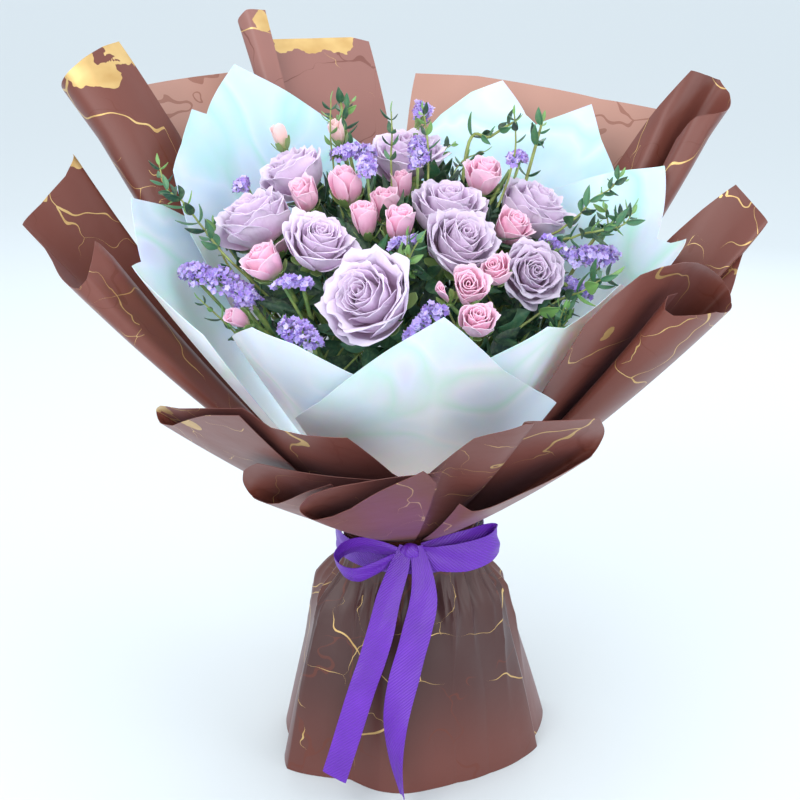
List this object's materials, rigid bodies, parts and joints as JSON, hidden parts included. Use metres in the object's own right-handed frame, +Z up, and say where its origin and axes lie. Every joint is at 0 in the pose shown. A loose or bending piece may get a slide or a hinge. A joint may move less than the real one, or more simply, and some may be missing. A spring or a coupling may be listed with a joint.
{
  "type": "mixed flower bouquet",
  "caption": "Hand-tied bouquet of roses, spray roses, statice and leafy sprigs in two layers of fanned wrapping film, tied with a ribbon and standing on its stems and skirt.",
  "frame": {"origin": "middle of the central stem's cut end, on the surface that the bunch stands on", "axes": "+Z up along the bunch, -Y to the front where the ribbon is tied, +X to the viewer's right"},
  "size_m": [0.5026, 0.458, 0.5283],
  "materials": {
    "mauve_petal": "soft matt petal, lilac mauve with pale lips and a pinkish base",
    "pink_petal": "soft matt petal, clear pink with a cream green base",
    "statice": "papery violet florets",
    "foliage": "half-matt green leaves on yellow-green twigs",
    "stem": "smooth green stem",
    "string": "matt twisted string",
    "pearl_film": "satin pearl film with aqua, mint and lavender tints",
    "brown_film": "satin mauve-brown film with gold marbled veins, tan inside with brown cracks",
    "ribbon": "violet ribbed ribbon"
  },
  "bodies": {
    "root": {"mauve_rose_1": "mauve_petal", "mauve_rose_2": "mauve_petal", "mauve_rose_3": "mauve_petal", "mauve_rose_4": "mauve_petal", "mauve_rose_5": "mauve_petal", "mauve_rose_6": "mauve_petal", "mauve_rose_7": "mauve_petal", "mauve_rose_8": "mauve_petal", "mauve_rose_9": "mauve_petal", "pink_spray_1": "pink_petal", "pink_spray_2": "pink_petal", "pink_spray_3": "pink_petal", "pink_spray_4": "pink_petal", "pink_spray_5": "pink_petal", "pink_spray_6": "pink_petal", "pink_spray_7": "pink_petal", "pink_spray_8": "pink_petal", "pink_bud_1": "pink_petal", "pink_bud_2": "pink_petal", "pink_bud_3": "pink_petal", "statice_1": "statice", "statice_2": "statice", "statice_3": "statice", "statice_4": "statice", "statice_5": "statice", "statice_6": "statice", "statice_7": "statice", "statice_8": "statice", "sprig_1": "foliage", "sprig_2": "foliage", "sprig_3": "foliage", "sprig_4": "foliage", "sprig_5": "foliage", "sprig_6": "foliage", "sprig_7": "foliage", "sprig_8": "foliage", "sprig_9": "foliage", "stems": "stem", "binding": "string", "pearl_back_left": "pearl_film", "pearl_left": "pearl_film", "pearl_front_left": "pearl_film", "pearl_front": "pearl_film", "pearl_front_right": "pearl_film", "pearl_right": "pearl_film", "pearl_back_right": "pearl_film", "brown_back_left": "brown_film", "brown_left": "brown_film", "brown_top_left": "brown_film", "brown_top_right": "brown_film", "brown_upper_right": "brown_film", "brown_right": "brown_film", "brown_roll_right": "brown_film", "brown_front_right": "brown_film", "brown_front_left": "brown_film", "brown_front_fold": "brown_film", "brown_front_flap": "brown_film", "skirt_front": "brown_film", "skirt_back": "brown_film", "ribbon": "ribbon"}
  },
  "joints": []
}
